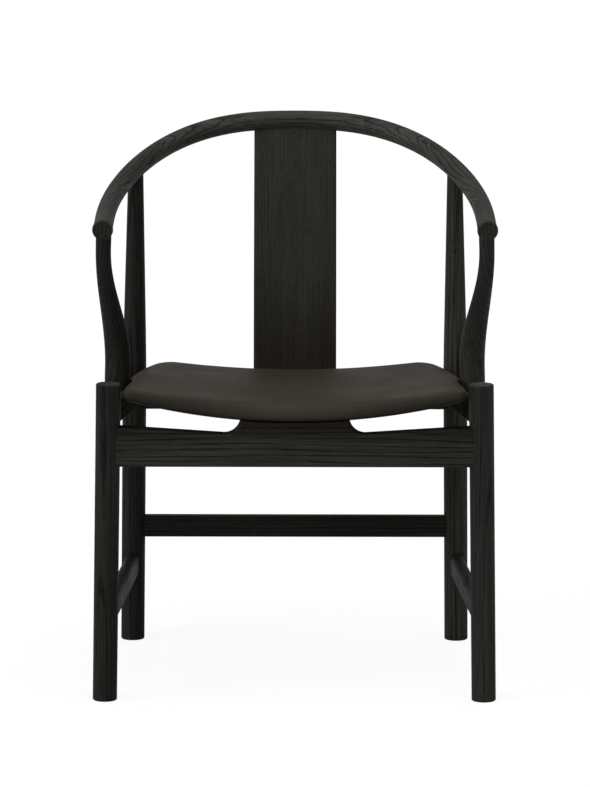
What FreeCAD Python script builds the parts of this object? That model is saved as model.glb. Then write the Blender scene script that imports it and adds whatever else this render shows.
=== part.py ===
import FreeCAD
import Part
import Sketcher
import math
import os
from types import SimpleNamespace

from FreeCAD import Placement, Rotation, Vector

# A low horseshoe back armchair: four round legs, a saddle seat and one rail that runs
# from arm to arm round the back. X is to the right, the front faces -Y, Z is up.
# Sizes are in millimetres and degrees. A setback is measured back from the front leg
# axes, a height from the floor, and a span between the two axes of a mirrored pair.
sizes = {
    # Legs
    "frontFootSpan": 526.2,
    "frontTopSpan": 513,
    "rearFootSpan": 469,
    "legDepth": 386,
    "frontLegHeight": 446,
    "legDiameter": 34.4,
    "footDiameter": 33.8,
    "legTopRound": 2.2,
    "footChamfer": 1.2,
    "rearTaperHeight": 360,
    "rearTaperRun": 90,
    "rearTaperAngle": 1.29,
    # Crest rail in one plane curve that climbs towards the back
    "armSpan": 533,
    "armHeight": 646,
    "armSetback": 85,
    "armStraightRun": 65,
    "armLevelRun": 39,
    "crestHeight": 740.7,
    "crestOverhang": 130,
    "railSquareness": 2.55,
    "railDiameter": 27.4,
    "armEndDiameter": 27.2,
    "knobDiameter": 29.2,
    "knobLength": 7,
    "knobRound": 2.6,
    "neckDepth": 1.3,
    "neckLength": 1.4,
    "scarfTurn": 44,
    "scarfLength": 38,
    # Arm posts
    "postSetback": 160,
    "postTopSetback": 115,
    "postOutset": 1.8,
    "postBaseDiameter": 36,
    "postTopDiameter": 21.4,
    "postFootRun": 42,
    "postNeckRun": 38,
    # Back splat
    "splatWidth": 119,
    "splatThickness": 11,
    "splatEdgeRound": 4,
    "splatBow": 15,
    "splatHousing": 9,
    "splatSetback": 1,
    # Saddle seat: the hollows are the dish depth at the hollow's half width
    "seatDrop": 53.2,
    "seatFall": 19.8,
    "seatThickness": 26.2,
    "frontEdgeThickness": 17.5,
    "rearEdgeThickness": 29,
    "frontEdgeRoll": 18,
    "rearEdgeRoll": 68,
    "seatNose": 14,
    "seatBackInset": 4,
    "seatOverlap": 2.5,
    "seatCornerRun": 11,
    "seatEarGap": 21,
    "seatGap": 1,
    "hollowHalfWidth": 240,
    "frontHollow": 31,
    "rearHollow": 14,
    "leatherThickness": 1.8,
    "leatherTurnUnder": 16,
    "shellThickness": 9,
    "softGap": 0.3,
    # Seat rails
    "frontRailUnderside": 331,
    "frontRailEndHeight": 56.1,
    "frontRailLowHeight": 45.9,
    "frontRailThickness": 26,
    "frontRailRaisedSpan": 150.5,
    "frontRailScoop": 22,
    "sideRailWidth": 33,
    "sideRailHeight": 33,
    "rearRailUnderside": 340,
    "rearRailThickness": 26,
    "railEdgeRound": 4,
    # Stretchers
    "sideStretcherFrontHeight": 115.5,
    "sideStretcherRearHeight": 111.5,
    "sideStretcherWidth": 19.5,
    "sideStretcherDepth": 34,
    "sideStretcherRound": 8.5,
    "rearStretcherHeight": 167,
    "rearStretcherWidth": 20,
    "rearStretcherDepth": 31.2,
    "rearStretcherRound": 5,
    # Joints and fasteners
    "tenonDiameter": 14,
    "tenonLength": 12,
    "rearTenonDrop": 14,
    "pegDiameter": 8,
    "pegLength": 28,
    "pegRailDepth": 12,
    "fitGap": 0.1,
    "screwDiameter": 4,
    "screwHeadDiameter": 8,
    "screwHeadLength": 2.6,
    "seatScrewLength": 27,
    "seatScrewBite": 5,
    "frontScrewSpan": 100,
    "frontScrewSetback": 7,
    "sideScrewSetback": 262,
    "sideScrewInset": 12,
    "blockReach": 72,
    "blockLegGap": 9,
    "blockUnderside": 362,
    "blockScrewLength": 36,
    "cutOverrun": 4,
}

doc = FreeCAD.newDocument("horseshoe_armchair")
sheet = doc.addObject("Spreadsheet::Sheet", "sizes")
for row, (alias, amount) in enumerate(sizes.items(), start=1):
    sheet.set(f"A{row}", alias)
    sheet.set(f"B{row}", str(amount))
    sheet.setAlias(f"B{row}", alias)
doc.recompute()
size = SimpleNamespace(**{alias: float(sheet.get(alias)) for alias in sizes})

# Both sides of the chair are made by one loop: -X is the left in a front view.
sides = {"left": -1, "right": 1}

legRadius = size.legDiameter / 2
railRadius = size.railDiameter / 2
crestSetback = size.legDepth + size.crestOverhang
bendSetback = size.armSetback + size.armStraightRun
climbSetback = size.armSetback + size.armLevelRun
# The origin is under the middle of the chair's box, which reaches from the front of
# the front legs to the back of the crest rail.
frontLegY = (legRadius - crestSetback - railRadius) / 2


def at(x, setback, height, rotation=Rotation()):
    return Placement(Vector(x, frontLegY + setback, height), rotation)


def towards(direction, upright=Vector(0, 0, 1)):
    """Turn local Z along the direction, with local Y as near upright as it goes."""
    across = upright.cross(direction)
    return Rotation(across, upright, direction, "ZXY")


# Axes that several pieces share, as points in the chair's frame


def frontLegPoint(side, height):
    lean = (size.frontTopSpan - size.frontFootSpan) / 2
    x = size.frontFootSpan / 2 + lean * height / size.frontLegHeight
    return Vector(side * x, frontLegY, height)


def railHeight(setback):
    share = max(0, (setback - climbSetback) / (crestSetback - climbSetback))
    return size.armHeight + (size.crestHeight - size.armHeight) * share ** 2


def railHalfWidth(setback):
    share = max(0, (setback - bendSetback) / (crestSetback - bendSetback))
    return size.armSpan / 2 * (1 - share ** size.railSquareness) ** (1 / size.railSquareness)


def railPoint(side, turn):
    """Point of the rail axis: turn 0 is the crest, turn 90 the start of the straight arm."""
    power = 2 / size.railSquareness
    x = size.armSpan / 2 * math.sin(math.radians(turn)) ** power
    reach = (crestSetback - bendSetback) * max(0, math.cos(math.radians(turn))) ** power
    setback = bendSetback + reach
    return Vector(side * x, frontLegY + setback, railHeight(setback))


def rearLegPoint(side, height):
    top = railHeight(size.legDepth)
    lean = railHalfWidth(size.legDepth) - size.rearFootSpan / 2
    x = size.rearFootSpan / 2 + lean * height / top
    return Vector(side * x, frontLegY + size.legDepth, height)


# Seat underside: a dish that is deeper at the front than at the back, level over the side rails


def along(front, rear, setback):
    """Value at a setback of a size that changes evenly from the front legs to the rear legs."""
    return front + (rear - front) * setback / size.legDepth


def seatCentreHeight(setback):
    return size.frontLegHeight - size.seatDrop - size.seatFall * setback / size.legDepth


def dishRise(x, halfWidth, hollow):
    """How far an arc of the hollow's depth at the half width has risen at x."""
    radius = (halfWidth ** 2 + hollow ** 2) / (2 * hollow)
    return radius - math.sqrt(radius ** 2 - x ** 2)


def sideRailEnd(side, setback, legPoint):
    """Middle of the side rail's section, with its top at the level of the hollow's edge."""
    innerX = abs(legPoint(side, size.frontRailUnderside).x) - size.sideRailWidth / 2
    hollow = along(size.frontHollow, size.rearHollow, setback)
    top = seatCentreHeight(setback) + dishRise(innerX, size.hollowHalfWidth, hollow)
    return legPoint(side, top - size.sideRailHeight / 2 - size.softGap)


def sideRailPoint(side, setback):
    front = sideRailEnd(side, 0, frontLegPoint)
    rear = sideRailEnd(side, size.legDepth, rearLegPoint)
    return front + (rear - front) * (setback / size.legDepth)


def sideRailTop(setback):
    run = sideRailPoint(1, size.legDepth) - sideRailPoint(1, 0)
    level = Vector(run.x, run.y, 0).Length
    return sideRailPoint(1, setback).z + size.sideRailHeight / 2 * run.Length / level


def innerRailX(setback):
    return abs(sideRailPoint(1, setback).x) - size.sideRailWidth / 2


def seatUnderside(x, setback):
    inner, middle = innerRailX(setback), seatCentreHeight(setback)
    edge = sideRailTop(setback) + size.softGap
    return middle + dishRise(min(abs(x), inner), inner, edge - middle)


# Makers of document objects


def bind(target, path, expression):
    target.setExpression(path, expression)


def cylinder(name, diameter, length, placement):
    rod = doc.addObject("Part::Cylinder", name)
    bind(rod, "Radius", f"({diameter}) / 2")
    bind(rod, "Height", length)
    rod.Placement = placement
    return rod


def group(name, members):
    bundle = doc.addObject("Part::Compound", name)
    bundle.Links = members
    return bundle


def cut(name, base, tools):
    piece = doc.addObject("Part::Cut", name)
    piece.Base = base
    piece.Tool = tools[0] if len(tools) == 1 else group(f"{name}_tools", tools)
    return piece


def fuse(name, members):
    piece = doc.addObject("Part::MultiFuse", name)
    piece.Shapes = members
    return piece


def originPlane(body, role):
    return next(plane for plane in body.Origin.OriginFeatures if plane.Role == role)


def newSketch(body, name, role):
    sketch = body.newObject("Sketcher::SketchObject", name)
    sketch.AttachmentSupport = [(originPlane(body, role), "")]
    sketch.MapMode = "FlatFace"
    return sketch


def bindConstraint(sketch, constraint, name, expression):
    index = sketch.addConstraint(constraint)
    sketch.renameConstraint(index, name)
    bind(sketch, f"Constraints.{name}", expression)


def number(expression):
    return float(sheet.evalExpression(expression))


def outlineSketch(body, name, role, corners, arcs=None):
    """Closed outline through corners given as pairs of expressions.

    arcs maps the index of an edge to its radius and to 1 where it bulges to the
    right of its direction of travel or -1 where it bulges to the left.
    """
    sketch = newSketch(body, name, role)
    arcs = arcs or {}
    points = [Vector(number(x), number(y), 0) for x, y in corners]
    for index, start in enumerate(points):
        end = points[(index + 1) % len(points)]
        if index in arcs:
            radius, bulge = arcs[index]
            chord = end - start
            half = chord.Length / 2
            rise = number(radius) - math.sqrt(max(0, number(radius) ** 2 - half ** 2))
            right = Vector(chord.y, -chord.x, 0).normalize()
            middle = (start + end) / 2 + right * (rise * bulge)
            sketch.addGeometry(Part.Arc(start, middle, end))
        else:
            sketch.addGeometry(Part.LineSegment(start, end))
    for index in range(len(points)):
        following = (index + 1) % len(points)
        endVertex = arcVertex(sketch, index, points[following])
        startVertex = arcVertex(sketch, following, points[following])
        sketch.addConstraint(
            Sketcher.Constraint("Coincident", index, endVertex, following, startVertex)
        )
    for index, (x, y) in enumerate(corners):
        vertex = arcVertex(sketch, index, points[index])
        acrossConstraint = Sketcher.Constraint("DistanceX", -1, 1, index, vertex, points[index].x)
        bindConstraint(sketch, acrossConstraint, f"x{index}", x)
        upConstraint = Sketcher.Constraint("DistanceY", -1, 1, index, vertex, points[index].y)
        bindConstraint(sketch, upConstraint, f"y{index}", y)
    for index, (radius, bulge) in arcs.items():
        radiusConstraint = Sketcher.Constraint("Radius", index, number(radius))
        bindConstraint(sketch, radiusConstraint, f"radius{index}", radius)
    return sketch


def arcVertex(sketch, index, point):
    """Number of the edge's vertex that lies at the point: 1 its start, 2 its end."""
    startDistance = sketch.getPoint(index, 1).distanceToPoint(point)
    endDistance = sketch.getPoint(index, 2).distanceToPoint(point)
    return 1 if startDistance <= endDistance else 2


def pad(body, sketch, length, symmetric=False):
    feature = body.newObject("PartDesign::Pad", "pad")
    feature.Profile = sketch
    feature.SideType = "Symmetric" if symmetric else "One side"
    bind(feature, "Length", length)
    return feature


def roundEdges(body, feature, radius, keep):
    """Round the feature's edges whose middle passes the test keep."""
    doc.recompute()
    names = []
    for index, edge in enumerate(feature.Shape.Edges, start=1):
        if keep(edge):
            names.append(f"Edge{index}")
    fillet = body.newObject("PartDesign::Fillet", "fillet")
    fillet.Base = (feature, names)
    bind(fillet, "Radius", radius)
    return fillet


def roundedBar(name, width, depth, rounding, length, placement):
    """Straight bar along local Z with a rounded section: width along X, depth along Y."""
    body = doc.addObject("PartDesign::Body", name)
    halfWidth, halfDepth = f"({width}) / 2", f"({depth}) / 2"
    inWidth, inDepth = f"({halfWidth} - {rounding})", f"({halfDepth} - {rounding})"
    corners = [
        (f"-{inWidth}", f"-{halfDepth}"), (inWidth, f"-{halfDepth}"),
        (halfWidth, f"-{inDepth}"), (halfWidth, inDepth),
        (inWidth, halfDepth), (f"-{inWidth}", halfDepth),
        (f"-{halfWidth}", inDepth), (f"-{halfWidth}", f"-{inDepth}"),
    ]
    arcs = {index: (rounding, 1) for index in (1, 3, 5, 7)}
    sketch = outlineSketch(body, f"{name}_section", "XY_Plane", corners, arcs)
    pad(body, sketch, length, symmetric=True)
    body.Placement = placement
    return body


def member(name, width, depth, rounding, length, start, end, legs):
    """Bar between two points on leg axes, coped to the legs, with a round tenon at each end.

    Returns the bar and the cylinders that open the two mortises.
    """
    direction = (end - start).normalize()
    turn = towards(direction)
    blank = roundedBar(f"{name}_blank", width, depth, rounding, length, Placement((start + end) / 2, turn))
    coped = cut(f"{name}_coped", blank, legs)
    tenons, mortises = [], []
    for tag, point, inward in (("start", start, direction), ("end", end, direction * -1)):
        tenon, mortise = tenonPair(f"{name}_{tag}", point, inward)
        tenons.append(tenon)
        mortises.append(mortise)
    return fuse(name, [coped] + tenons), mortises


def tenonPair(name, legPoint, inward):
    """Tenon that starts inside the leg and the mortise that clears it.

    inward points from the leg axis along the piece that carries the tenon.
    """
    start = legRadius - size.tenonLength
    turn = towards(inward)
    tenon = cylinder(
        f"{name}_tenon",
        "sizes.tenonDiameter",
        "sizes.tenonLength + sizes.cutOverrun * 2",
        Placement(legPoint + inward * start, turn),
    )
    mortise = cylinder(
        f"{name}_mortise",
        "sizes.tenonDiameter + sizes.fitGap * 2",
        "sizes.tenonLength + sizes.cutOverrun",
        Placement(legPoint + inward * (start - size.fitGap), turn),
    )
    return tenon, mortise


# Legs: turned pieces that lean a little, cut level at the floor


def legTurn(foot, top):
    return towards((top - foot).normalize(), Vector(0, 1, 0))


def turnedLeg(name, corners, arcs, foot, top):
    body = doc.addObject("PartDesign::Body", name)
    sketch = outlineSketch(body, f"{name}_profile", "XZ_Plane", corners, arcs)
    revolution = body.newObject("PartDesign::Revolution", f"{name}_turning")
    revolution.Profile = sketch
    revolution.ReferenceAxis = (sketch, ["V_Axis"])
    body.Placement = Placement(foot, legTurn(foot, top))
    floor = doc.addObject("Part::Box", f"{name}_floor")
    for side in ("Length", "Width"):
        bind(floor, side, "sizes.legDiameter * 2")
    bind(floor, "Height", "sizes.cutOverrun * 2")
    corner = foot - Vector(size.legDiameter, size.legDiameter, size.cutOverrun * 2)
    floor.Placement = Placement(corner, Rotation())
    return cut(f"{name}_level", body, [floor])


footRadius = "sizes.footDiameter / 2"
chamferRadius = f"({footRadius} - sizes.footChamfer)"
legRadiusText = "sizes.legDiameter / 2"


def footCorners():
    return [("0", "-1 * sizes.footChamfer"), (chamferRadius, "-1 * sizes.footChamfer"),
            (chamferRadius, "0"), (footRadius, "sizes.footChamfer")]


def frontLegBlank(side, name):
    foot, top = frontLegPoint(side, 0), frontLegPoint(side, size.frontLegHeight)
    corners = footCorners() + [
        (legRadiusText, "sizes.frontLegHeight - sizes.legTopRound"),
        (f"{legRadiusText} - sizes.legTopRound", "sizes.frontLegHeight"),
        ("0", "sizes.frontLegHeight"),
    ]
    arcs = {4: ("sizes.legTopRound", 1)}
    return turnedLeg(f"{name}_blank", corners, arcs, foot, top)


def rearLegBlank(side, name):
    axisTop = railHeight(size.legDepth)
    foot, top = rearLegPoint(side, 0), rearLegPoint(side, axisTop)
    length = (top - foot).Length
    taperEnd = "(sizes.rearTaperHeight + sizes.rearTaperRun)"
    waist = f"({legRadiusText} - sizes.rearTaperRun * tan(sizes.rearTaperAngle * 1deg / 2))"
    tip = f"({waist} - ({length} - {taperEnd}) * tan(sizes.rearTaperAngle * 1deg))"
    corners = footCorners() + [
        (legRadiusText, "sizes.rearTaperHeight"),
        (waist, taperEnd),
        (tip, f"{length}"),
        ("0", f"{length}"),
    ]
    arcs = {4: ("sizes.rearTaperRun / sin(sizes.rearTaperAngle * 1deg)", 1)}
    return turnedLeg(f"{name}_blank", corners, arcs, foot, top)


# Crest rail


def railSection(side, turn):
    """Circle of the rail square to its axis at a turn of the curve."""
    share = turn / 90
    radius = railRadius + (size.armEndDiameter / 2 - railRadius) * share
    return railCircle(railPoint(side, turn), railDirection(side, turn) * side, radius)


def railDirection(side, turn):
    """Direction of the rail axis from the crest towards the side's arm."""
    step = 0.5
    if turn == 0:
        return Vector(side, 0, 0)
    if turn == 90:
        fall = railHeight(bendSetback + step) - railHeight(bendSetback - step)
        return Vector(0, -2 * step, -fall).normalize()
    return (railPoint(side, turn + step) - railPoint(side, turn - step)).normalize()


def railCircle(point, direction, radius):
    circle = Part.makeCircle(radius)
    circle.Placement = Placement(point, towards(direction.normalize()))
    return Part.Wire([circle])


def armSection(side, setback):
    point = Vector(side * size.armSpan / 2, frontLegY + setback, railHeight(setback))
    return railCircle(point, Vector(0, -side, 0), size.armEndDiameter / 2)


def makeWholeRail():
    turns = (12, 25, 38, 52, 68, 80, 90)
    neckSetback = size.armSetback + size.knobLength + size.neckLength
    armSetbacks = ((neckSetback + bendSetback) / 2, neckSetback)
    left = [railSection(-1, turn) for turn in turns]
    left += [armSection(-1, setback) for setback in armSetbacks]
    right = [railSection(1, turn) for turn in turns]
    right += [armSection(1, setback) for setback in armSetbacks]
    sections = left[::-1] + [railSection(1, 0)] + right
    rail = doc.addObject("Part::Feature", "crest_rail_blank")
    rail.Shape = Part.makeLoft(sections, True, False)
    return rail


def scarfTool(side, name):
    """Everything of one arm beyond its scarf: a block with a notch for the back's tongue."""
    origin = railPoint(side, size.scarfTurn)
    outward = railDirection(side, size.scarfTurn)
    radial = Vector(outward.y, -outward.x, 0).normalize() * -side
    upright = outward.cross(radial).normalize() * side
    half = size.scarfLength / 2
    mouth = railRadius + size.cutOverrun
    corners = [
        outward * -half - upright * mouth,
        outward * half,
        outward * -half + upright * mouth,
        outward * -half + upright * size.armSpan,
        outward * size.armSpan * 2 + upright * size.armSpan,
        outward * size.armSpan * 2 - upright * size.armSpan,
        outward * -half - upright * size.armSpan,
    ]
    points = [origin + corner - radial * size.armSpan / 2 for corner in corners]
    face = Part.Face(Part.makePolygon(points + points[:1]))
    tool = doc.addObject("Part::Feature", name)
    tool.Shape = face.extrude(radial * (size.armSpan / 2 + size.railDiameter * 2))
    return tool


def makeKnob(side, name):
    """Round end of an arm: a disc with soft edges on a thinner neck."""
    x = side * size.armSpan / 2
    forward = Rotation(Vector(1, 0, 0), 90)
    backOfKnob = size.armSetback + size.knobLength
    disc = cylinder(
        f"{name}_disc", "sizes.knobDiameter", "sizes.knobLength", at(x, backOfKnob, size.armHeight, forward)
    )
    doc.recompute()
    rounded = doc.addObject("Part::Fillet", f"{name}_rounded")
    rounded.Base = disc
    rims = [index for index, edge in enumerate(disc.Shape.Edges, start=1) if edge.Closed]
    rounded.Edges = [(index, size.knobRound, size.knobRound) for index in rims]
    neck = cylinder(
        f"{name}_neck",
        "sizes.armEndDiameter - sizes.neckDepth * 2",
        "sizes.neckLength + sizes.cutOverrun",
        at(x, backOfKnob + size.neckLength + size.cutOverrun / 2, size.armHeight, forward),
    )
    return [rounded, neck]


# Pegs that join the rail to the rear legs and posts, and the posts to the side rails


def pegAt(name, top, direction):
    """Peg and its hole, from the top point down against the direction."""
    turn = towards(direction, Vector(0, 1, 0))
    foot = Placement(top - direction * size.pegLength, turn)
    peg = cylinder(name, "sizes.pegDiameter", "sizes.pegLength", foot)
    hole = cylinder(
        f"{name}_hole",
        "sizes.pegDiameter + sizes.fitGap * 2",
        "sizes.pegLength + sizes.fitGap * 2",
        Placement(top - direction * (size.pegLength + size.fitGap), turn),
    )
    return peg, hole


# Arm posts: S-curved turned pieces from the side rail to the arm


def postBase(side):
    point = sideRailPoint(side, size.postSetback)
    point.x += side * size.postOutset
    return point


def makePostBlank(side, name):
    base = postBase(side)
    start = base.z + size.sideRailHeight / 2 - size.cutOverrun
    footEnd = base.z + size.sideRailHeight / 2 + size.postFootRun
    neckStart = size.armHeight - size.postNeckRun
    # Shares of the curved stretch: each gives the height and, by a smooth step, the shift
    riseShares = (0, 0.2, 0.4, 0.6, 0.8, 1)
    stations = [(start, 0)]
    stations += [(footEnd + (neckStart - footEnd) * rise, rise ** 2 * (3 - 2 * rise)) for rise in riseShares]
    stations += [(size.armHeight, 1)]
    body = doc.addObject("PartDesign::Body", name)
    sketches = []
    for index, (height, blendShare) in enumerate(stations):
        sketch = newSketch(body, f"{name}_station{index}", "XY_Plane")
        sketch.addGeometry(Part.Circle(Vector(0, 0, 0), Vector(0, 0, 1), size.postBaseDiameter / 2))
        sketch.addConstraint(Sketcher.Constraint("Coincident", 0, 3, -1, 1))
        diameter = f"sizes.postBaseDiameter + (sizes.postTopDiameter - sizes.postBaseDiameter) * {blendShare}"
        constraint = Sketcher.Constraint("Diameter", 0, size.postBaseDiameter)
        bindConstraint(sketch, constraint, "diameter", diameter)
        x = f"{base.x} + ({side} * sizes.armSpan / 2 - {base.x}) * {blendShare}"
        setback = f"sizes.postSetback + (sizes.postTopSetback - sizes.postSetback) * {blendShare}"
        bind(sketch, "AttachmentOffset.Base.x", x)
        bind(sketch, "AttachmentOffset.Base.y", setback)
        bind(sketch, "AttachmentOffset.Base.z", f"{height}")
        sketches.append(sketch)
    loft = body.newObject("PartDesign::AdditiveLoft", f"{name}_loft")
    loft.Profile = sketches[0]
    loft.Sections = sketches[1:]
    body.Placement = at(0, 0, 0)
    return body


# Back splat: a bowed board housed in the rear seat rail and in the crest rail


def splatFoot():
    """Where the board's middle line ends in the rear seat rail."""
    setback = size.legDepth + size.splatSetback
    return Vector(0, setback, seatCentreHeight(size.legDepth) - size.splatHousing)


def makeSplat(name, gap):
    """The board, or with a gap the room that its two housings give it."""
    body = doc.addObject("PartDesign::Body", name)
    foot = splatFoot()
    top = Vector(0, crestSetback, size.crestHeight - railRadius + size.splatHousing)
    foot.z -= gap
    top.z += gap
    spine = newSketch(body, f"{name}_bow", "YZ_Plane")
    chord = top - foot
    half = chord.Length / 2
    radius = (half ** 2 + size.splatBow ** 2) / (2 * size.splatBow)
    forward = Vector(0, -chord.z, chord.y).normalize()
    middle = (foot + top) / 2 + forward * size.splatBow
    flat = [Vector(point.y, point.z, 0) for point in (foot, middle, top)]
    spine.addGeometry(Part.Arc(*flat))
    for label, point in (("foot", flat[0]), ("top", flat[2])):
        vertex = arcVertex(spine, 0, point)
        across = Sketcher.Constraint("DistanceX", -1, 1, 0, vertex, point.x)
        bindConstraint(spine, across, f"{label}Setback", f"{point.x}")
        up = Sketcher.Constraint("DistanceY", -1, 1, 0, vertex, point.y)
        bindConstraint(spine, up, f"{label}Height", f"{point.y}")
    bindConstraint(spine, Sketcher.Constraint("Radius", 0, radius), "bowRadius", f"{radius}")

    halfWidth, halfDepth = f"(sizes.splatWidth / 2 + {gap})", f"(sizes.splatThickness / 2 + {gap})"
    inWidth, inDepth = f"({halfWidth} - sizes.splatEdgeRound)", f"({halfDepth} - sizes.splatEdgeRound)"
    setback = f"{foot.y}"
    corners = [
        (f"-{inWidth}", f"{setback} - {halfDepth}"), (inWidth, f"{setback} - {halfDepth}"),
        (halfWidth, f"{setback} - {inDepth}"), (halfWidth, f"{setback} + {inDepth}"),
        (inWidth, f"{setback} + {halfDepth}"), (f"-{inWidth}", f"{setback} + {halfDepth}"),
        (f"-{halfWidth}", f"{setback} + {inDepth}"), (f"-{halfWidth}", f"{setback} - {inDepth}"),
    ]
    arcs = {index: ("sizes.splatEdgeRound", 1) for index in (1, 3, 5, 7)}
    section = outlineSketch(body, f"{name}_section", "XY_Plane", corners, arcs)
    bind(section, "AttachmentOffset.Base.z", f"{foot.z}")
    pipe = body.newObject("PartDesign::AdditivePipe", f"{name}_sweep")
    pipe.Profile = section
    pipe.Spine = spine
    body.Placement = at(0, 0, 0)
    return body


# Seat rails


def frontRailBlank(name):
    """Profile in the front view: level underside, sloped shoulders, scooped up to a raised middle."""
    body = doc.addObject("PartDesign::Body", name)
    end = "sizes.frontTopSpan / 2"
    low = "(sizes.frontRailUnderside + sizes.frontRailLowHeight)"
    shoulder = "(sizes.frontRailUnderside + sizes.frontRailEndHeight)"
    raised = "sizes.frontRailRaisedSpan / 2"
    scoopEnd = f"({raised} + sizes.frontRailScoop)"
    raisedTop = f"({low} + sizes.frontRailScoop)"
    corners = [
        (f"-{end}", "sizes.frontRailUnderside"), (end, "sizes.frontRailUnderside"),
        (end, shoulder), (scoopEnd, low), (raised, raisedTop),
        (f"-{raised}", raisedTop), (f"-{scoopEnd}", low), (f"-{end}", shoulder),
    ]
    arcs = {3: ("sizes.frontRailScoop", -1), 5: ("sizes.frontRailScoop", -1)}
    sketch = outlineSketch(body, f"{name}_profile", "XZ_Plane", corners, arcs)
    feature = pad(body, sketch, "sizes.frontRailThickness", symmetric=True)
    roundEdges(body, feature, "sizes.railEdgeRound", isLongEdge)
    body.Placement = at(0, 0, 0)
    return body


def rearRailBlank(name):
    """Board between the rear legs, higher than the seat until the seat's dish trims it."""
    body = doc.addObject("PartDesign::Body", name)
    end = "sizes.rearFootSpan / 2"
    top = "(sizes.frontLegHeight - sizes.seatDrop + sizes.rearHollow)"
    corners = [
        (f"-{end}", "sizes.rearRailUnderside"), (end, "sizes.rearRailUnderside"),
        (end, top), (f"-{end}", top),
    ]
    sketch = outlineSketch(body, f"{name}_profile", "XZ_Plane", corners)
    feature = pad(body, sketch, "sizes.rearRailThickness", symmetric=True)
    roundEdges(body, feature, "sizes.railEdgeRound", lambda edge: isLongEdge(edge) and isLowEdge(edge))
    body.Placement = at(0, size.legDepth, 0)
    return body


def isLongEdge(edge):
    """Whether the edge runs in the front view's plane, not through the board."""
    return edge.BoundBox.YLength < size.fitGap and edge.BoundBox.XLength > size.fitGap


def isLowEdge(edge):
    return edge.BoundBox.ZMax < size.rearRailUnderside + size.railEdgeRound


# Seat: leather over foam over a bent plywood shell, with a lining below


def seatHalfWidth(setback):
    return abs(sideRailPoint(1, setback).x) + size.seatOverlap


def underLine(setback, halfWidth, edgeLevel, level):
    """Edges from left to right along the underside: flat over the side rails, dished between them."""
    y, inner = frontLegY + setback, innerRailX(setback)
    edge = seatUnderside(inner, setback) + edgeLevel
    left, right = Vector(-inner, y, edge), Vector(inner, y, edge)
    middle = Vector(0, y, seatUnderside(0, setback) + level)
    return [
        Part.makeLine(Vector(-halfWidth, y, edge), left),
        Part.Arc(left, middle, right).toShape(),
        Part.makeLine(right, Vector(halfWidth, y, edge)),
    ]


def sheetStation(setback, halfWidth, low, high):
    """Section of a layer between two levels above the underside."""
    lower = underLine(setback, halfWidth, low, low)
    upper = underLine(setback, halfWidth, high, high)
    sides = []
    for end, index in ((0, 0), (2, 1)):
        sides.append(Part.makeLine(lower[end].Vertexes[index].Point, upper[end].Vertexes[index].Point))
    return Part.Wire(Part.sortEdges(lower + upper + sides)[0])


def paddedStation(setback, inset, low, high, squashShare):
    """Section of the padded seat: dished on top, with sides that roll down to the rails.

    squashShare thins the section about its own middle, as the rolled front and back do.
    """
    def squashed(level, middle):
        return middle + (level - middle) * squashShare

    y, halfWidth = frontLegY + setback, seatHalfWidth(setback) - inset
    edgeHigh = along(size.frontEdgeThickness, size.rearEdgeThickness, setback) - (size.seatThickness - high)
    edgeX = halfWidth - along(size.frontEdgeRoll, size.rearEdgeRoll, setback)
    middle, edgeMiddle = (low + high) / 2, (low + edgeHigh) / 2
    edge = seatUnderside(edgeX, setback) + squashed(edgeHigh, edgeMiddle)
    lower = underLine(setback, halfWidth, squashed(low, edgeMiddle), squashed(low, middle))
    left, right = Vector(-edgeX, y, edge), Vector(edgeX, y, edge)
    top = Vector(0, y, seatUnderside(0, setback) + squashed(high, middle))
    upper = [Part.Arc(left, top, right).toShape()]
    topSlope = 2 * math.atan((edge - top.z) / edgeX)
    for corner, foot in ((left, lower[0].Vertexes[0].Point), (right, lower[2].Vertexes[1].Point)):
        chord = corner - foot
        outward = Vector(chord.z, 0, -chord.x) * (-1 if corner is left else 1)
        # The roll leaves the top in line with it, so it turns by both slopes
        sagShare = math.tan((math.atan2(chord.z, abs(chord.x)) + topSlope) / 2) / 2
        upper.append(Part.Arc(foot, (corner + foot) / 2 + outward * sagShare, corner).toShape())
    return Part.Wire(Part.sortEdges(lower + upper)[0])


def sheetForm(low, high, inset):
    """Layer of the seat between two levels, trimmed to the seat's outline less an inset."""
    front, back = -size.seatNose + inset, size.legDepth - size.seatBackInset - inset
    wires = [sheetStation(setback, seatHalfWidth(setback) - inset, low, high) for setback in (front, back)]
    return Part.makeLoft(wires, True, True).common(outlinePrism(inset))


def paddedForm(low, high, inset):
    """Padded seat between two levels, with a rolled front and back edge."""
    front, back = -size.seatNose + inset, size.legDepth - size.seatBackInset - inset
    roll = (high - low) / 2
    turns = [math.radians(turn) for turn in (15, 35, 55, 75, 90)]
    nose = [(front + roll * (1 - math.cos(turn)), math.sin(turn)) for turn in turns]
    tail = [(back - roll * (1 - math.cos(turn)), math.sin(turn)) for turn in turns[::-1]]
    wires = [paddedStation(setback, inset, low, high, share) for setback, share in nose + tail]
    return Part.makeLoft(wires, True, True).common(outlinePrism(inset))


def seatOutline():
    """Right half of the plan: it passes inside the front leg and the post and notches the rear leg."""
    frontX = frontLegPoint(1, size.frontLegHeight).x - legRadius - size.seatGap
    postX = postBase(1).x - size.postBaseDiameter / 2 - size.seatGap
    rearX = rearLegPoint(1, size.frontLegHeight).x - legRadius - size.seatGap
    postBack = size.postSetback + size.postBaseDiameter / 2 + size.seatGap
    earBack = size.legDepth - legRadius - size.seatEarGap
    back = size.legDepth - size.seatBackInset
    return [
        (frontX - size.seatCornerRun, -size.seatNose),
        (frontX, size.seatCornerRun - size.seatNose),
        (postX, size.postSetback),
        (postX, postBack),
        (seatHalfWidth(postBack), postBack),
        (seatHalfWidth(earBack), earBack),
        (rearX + legRadius / 2, earBack),
        (rearX, size.legDepth - legRadius),
        (rearX, back),
    ]


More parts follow.
